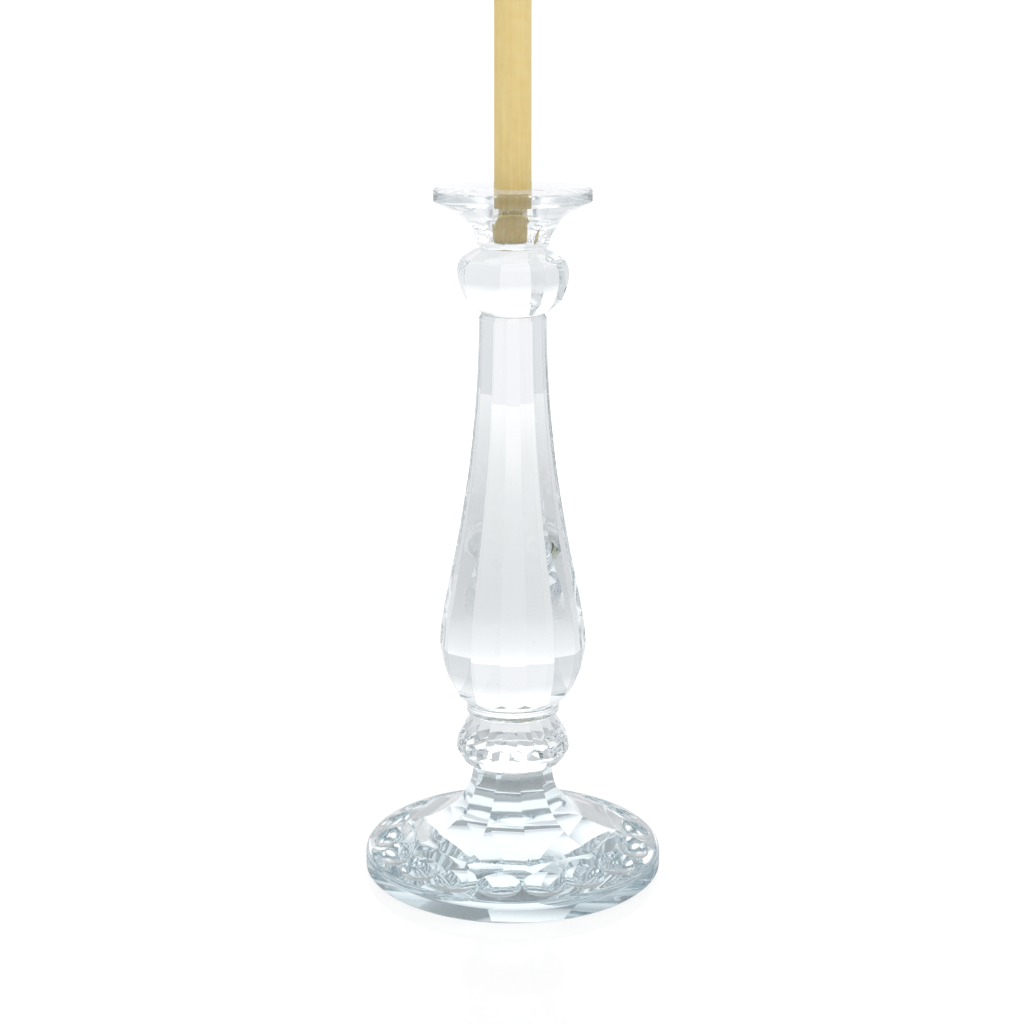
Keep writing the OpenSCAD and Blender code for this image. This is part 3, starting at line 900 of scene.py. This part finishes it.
def light_tent():
    """A white tent: bright walls behind, greyer ones behind the camera, a grey flag low down
    at each side that draws the dark lines along the cuts, and a bright roof."""
    world = bpy.data.worlds.new("light_tent")
    bpy.context.scene.world = world
    world.use_nodes = True
    tree = world.node_tree
    tree.nodes.clear()
    way = add(tree, "ShaderNodeTexCoord").outputs["Generated"]
    part = add(tree, "ShaderNodeSeparateXYZ", {"Vector": way})
    turn = add(tree, "ShaderNodeMath", {0: part.outputs["X"], 1: part.outputs["Y"]},
               operation="ARCTAN2")
    share = add(tree, "ShaderNodeMath", {0: turn.outputs["Value"]},
                {1: 0.5 / math.pi, 2: 0.5}, operation="MULTIPLY_ADD")
    # from the camera round by the left, the back and the right, to the camera again
    wall = ramp(tree, share.outputs["Value"], (
        (0.0, "BCBEC0"), (0.12, "BCBEC0"), (0.2, "C6C8CA"), (0.28, "C4C6C8"), (0.31, "94989C"),
        (0.35, "94989C"), (0.37, "B4B7BA"), (0.46, "D0D0D2"), (0.54, "D0D0D2"), (0.63, "B4B7BA"),
        (0.65, "94989C"), (0.69, "94989C"), (0.72, "D8D8D8"), (0.8, "D8D8D8"), (0.88, "BCBEC0")))
    roof = ramp(tree, share.outputs["Value"], (
        (0.0, "F8F8F8"), (0.12, "F4F4F4"), (0.2, "CFD0D2"), (0.33, "B1B4B7"), (0.42, "E8E8E8"),
        (0.5, "ECECEC"), (0.58, "E8E8E8"), (0.7, "C6C8CA"), (0.8, "D9D9D9"), (0.9, "F8F8F8")))
    # the roof comes down lower at the back than over the camera
    tilted = add(tree, "ShaderNodeMath", {0: part.outputs["Y"], 2: part.outputs["Z"]},
                 {1: 0.14}, operation="MULTIPLY_ADD")
    lift = ramp(tree, tilted.outputs["Value"], ((0.0, "000000"), (0.2, "000000"), (0.4, "FFFFFF")))
    both = add(tree, "ShaderNodeMix", {"Factor": lift, 6: wall, 7: roof}, data_type="RGBA")
    # seen directly it is plain white; the glass gets the shaded one
    seen = add(tree, "ShaderNodeLightPath").outputs["Is Camera Ray"]
    colour = add(tree, "ShaderNodeMix", {"Factor": seen, 6: both.outputs[2]},
                 {7: (1, 1, 1, 1)}, data_type="RGBA")
    tent = add(tree, "ShaderNodeBackground", {"Color": colour.outputs[2]}, {"Strength": TENT_GLOW})
    output = add(tree, "ShaderNodeOutputWorld")
    tree.links.new(tent.outputs["Background"], output.inputs["Surface"])


# ---------------------------------------------------------------- assembly
def dress(piece, body, node):
    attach(piece, body)
    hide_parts(node)


place_camera()
make_table()
light_tent()
dress(make_foot(), "glass", "base")
dress(make_lower_knop(), "glass", "lower_knop")
dress(make_stem(), "glass", "stem")
dress(make_upper_knop(), "glass", "upper_knop")
dress(make_cup(), "glass", "candle_cup")
for film, seat_r, z, bond in (("neck_film", NECK_SEAT_R, BASE_H, "bond_base_knop"),
                              ("collar_film", RING_SEAT_R, STEM_Z - BOND_T, "bond_knop_stem"),
                              ("stem_film", STEM_SEAT_R, BULB_Z - BOND_T, "bond_stem_knop"),
                              ("cup_film", BULB_SEAT_R, CUP_Z - BOND_T, "bond_knop_cup")):
    dress(make_film(film, seat_r, z), "glass", bond)
dress(make_candle(), "candle", "candle")
dress(make_wick(), "candle", "wick")

# light turns back many times inside cut glass, and each turn counts as a bounce
GLASS_BOUNCES = 32
scene = bpy.context.scene
scene.view_settings.view_transform = "Standard"
scene.cycles.max_bounces = GLASS_BOUNCES
scene.cycles.glossy_bounces = GLASS_BOUNCES
scene.cycles.transmission_bounces = GLASS_BOUNCES
scene.cycles.transparent_max_bounces = 2 * GLASS_BOUNCES
